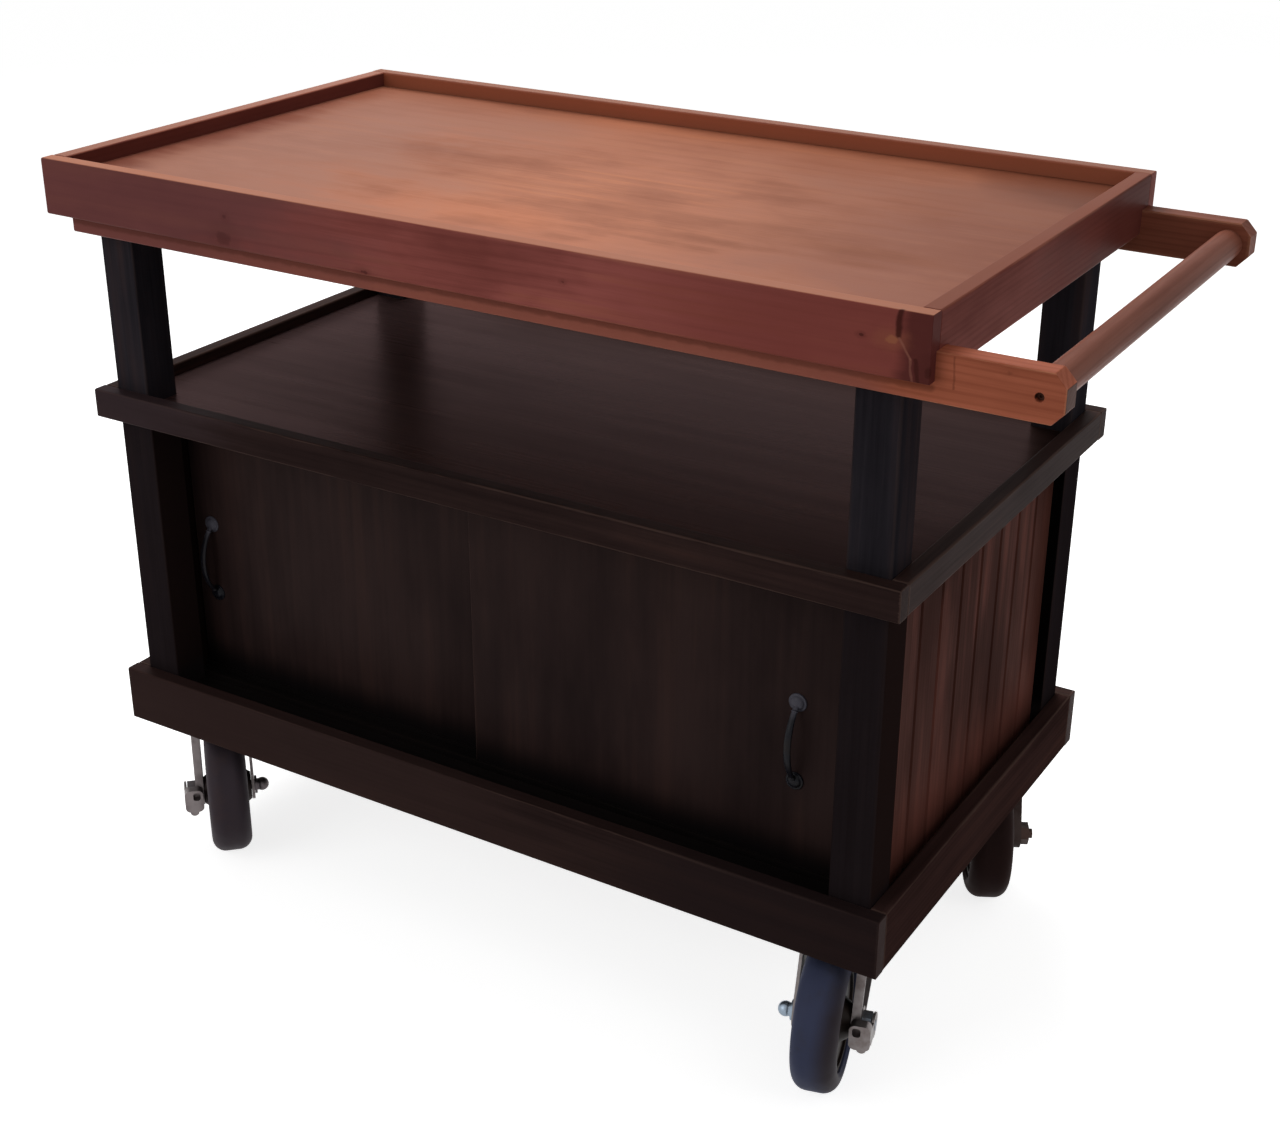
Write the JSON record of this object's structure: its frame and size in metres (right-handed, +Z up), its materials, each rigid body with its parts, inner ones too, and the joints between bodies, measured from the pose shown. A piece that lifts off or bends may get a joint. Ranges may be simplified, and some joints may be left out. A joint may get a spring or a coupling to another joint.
{
  "type": "serving cart",
  "caption": "Wooden serving cart with a rimmed tray top, side push handle, open shelf, cabinet with sliding doors and swivel casters with foot brakes.",
  "frame": {"origin": "on the floor, under the middle of the whole cart's box in the rest pose", "axes": "+X along the cart towards the push handle, +Y towards its back, +Z up"},
  "size_m": [1.2, 0.6462, 0.889],
  "materials": {
    "tray_wood": "brown stained pine, satin, worn pale on its edges",
    "tray_floor_wood": "brown stained pine, satin gloss",
    "handle_wood": "orange brown stained pine, satin",
    "frame_wood": "antiqued espresso paint with brown wear on its edges, satin",
    "shelf_wood": "antiqued espresso paint, satin gloss",
    "plank_wood": "antiqued espresso paint over planks, streaky, satin",
    "door_wood": "antiqued espresso paint, streaked upright, satin",
    "inner_wood": "dark stained, matt",
    "black_iron": "wrought black iron, semi-gloss",
    "zinc_steel": "pressed steel, zinc plated",
    "steel_fasteners": "zinc plated steel",
    "hub_plastic": "dark grey moulded",
    "tyre_rubber": "blue black rubber, matt"
  },
  "bodies": {
    "cart_frame": {"tray_rim_front": "tray_wood", "tray_rim_back": "tray_wood", "tray_rim_left": "tray_wood", "tray_rim_right": "tray_wood", "tray_panel": "tray_floor_wood", "handle_rail_front": "handle_wood", "handle_rail_back": "handle_wood", "apron_left": "inner_wood", "apron_right": "inner_wood", "push_bar": "handle_wood", "push_bar_screws": "steel_fasteners", "post_front_left": "frame_wood", "post_front_right": "frame_wood", "post_back_left": "frame_wood", "post_back_right": "frame_wood", "shelf_rim_front": "frame_wood", "shelf_rim_back": "frame_wood", "shelf_rim_left": "frame_wood", "shelf_rim_right": "frame_wood", "shelf_panel": "shelf_wood", "base_rim_front": "frame_wood", "base_rim_back": "frame_wood", "base_rim_left": "frame_wood", "base_rim_right": "frame_wood", "base_panel": "inner_wood", "side_panel_left": "plank_wood", "side_panel_right": "plank_wood", "back_panel": "plank_wood", "door_track_top": "inner_wood", "door_track_bottom": "inner_wood", "caster_plates": "zinc_steel", "caster_screws": "steel_fasteners", "kingpins": "steel_fasteners", "swivel_balls": "steel_fasteners"},
    "sliding_door_left": {"door_left": "door_wood", "door_pull_left": "black_iron", "pull_screws_left": "steel_fasteners"},
    "sliding_door_right": {"door_right": "door_wood", "door_pull_right": "black_iron", "pull_screws_right": "steel_fasteners"},
    "caster_front_left": {"fork_front_left": "zinc_steel", "axle_bolt_front_left": "steel_fasteners"},
    "wheel_front_left": {"wheel_hub_front_left": "hub_plastic", "tyre_front_left": "tyre_rubber"},
    "caster_front_right": {"fork_front_right": "zinc_steel", "axle_bolt_front_right": "steel_fasteners"},
    "wheel_front_right": {"wheel_hub_front_right": "hub_plastic", "tyre_front_right": "tyre_rubber"},
    "caster_back_left": {"fork_back_left": "zinc_steel", "axle_bolt_back_left": "steel_fasteners"},
    "wheel_back_left": {"wheel_hub_back_left": "hub_plastic", "tyre_back_left": "tyre_rubber"},
    "caster_back_right": {"fork_back_right": "zinc_steel", "axle_bolt_back_right": "steel_fasteners"},
    "wheel_back_right": {"wheel_hub_back_right": "hub_plastic", "tyre_back_right": "tyre_rubber"},
    "brake_front_left": {"brake_pedal_front_left": "zinc_steel"},
    "brake_front_right": {"brake_pedal_front_right": "zinc_steel"}
  },
  "joints": [
    {"name": "door_left_slide", "type": "slide", "parent": "cart_frame", "child": "sliding_door_left", "axis": [1, 0, 0], "range_m": [0, 0.395]},
    {"name": "door_right_slide", "type": "slide", "parent": "cart_frame", "child": "sliding_door_right", "axis": [1, 0, 0], "range_m": [-0.395, 0]},
    {"name": "caster_front_left_swivel", "type": "hinge", "parent": "cart_frame", "child": "caster_front_left", "pos_m": [-0.501, -0.19487, 0.1], "axis": [0, 0, 1], "continuous": true},
    {"name": "caster_front_right_swivel", "type": "hinge", "parent": "cart_frame", "child": "caster_front_right", "pos_m": [0.381, -0.19487, 0.1], "axis": [0, 0, 1], "continuous": true},
    {"name": "caster_back_left_swivel", "type": "hinge", "parent": "cart_frame", "child": "caster_back_left", "pos_m": [-0.501, 0.22913, 0.1], "axis": [0, 0, 1], "continuous": true},
    {"name": "caster_back_right_swivel", "type": "hinge", "parent": "cart_frame", "child": "caster_back_right", "pos_m": [0.381, 0.22913, 0.1], "axis": [0, 0, 1], "continuous": true},
    {"name": "wheel_front_left_spin", "type": "hinge", "parent": "caster_front_left", "child": "wheel_front_left", "pos_m": [-0.46589, -0.23047, 0.08], "axis": [0.712, 0.7022, 0], "continuous": true},
    {"name": "brake_front_left_press", "type": "hinge", "parent": "caster_front_left", "child": "brake_front_left", "pos_m": [-0.46589, -0.23047, 0.08], "axis": [0.712, 0.7022, 0], "range_deg": [0, 20]},
    {"name": "wheel_front_right_spin", "type": "hinge", "parent": "caster_front_right", "child": "wheel_front_right", "pos_m": [0.39386, -0.24319, 0.08], "axis": [0.9664, 0.2571, 0], "continuous": true},
    {"name": "brake_front_right_press", "type": "hinge", "parent": "caster_front_right", "child": "brake_front_right", "pos_m": [0.39386, -0.24319, 0.08], "axis": [0.9664, 0.2571, 0], "range_deg": [0, 20]},
    {"name": "wheel_back_left_spin", "type": "hinge", "parent": "caster_back_left", "child": "wheel_back_left", "pos_m": [-0.47232, 0.18817, 0.08], "axis": [0.8192, 0.5736, 0], "continuous": true},
    {"name": "wheel_back_right_spin", "type": "hinge", "parent": "caster_back_right", "child": "wheel_back_right", "pos_m": [0.40416, 0.18482, 0.08], "axis": [0.8862, 0.4633, 0], "continuous": true}
  ]
}
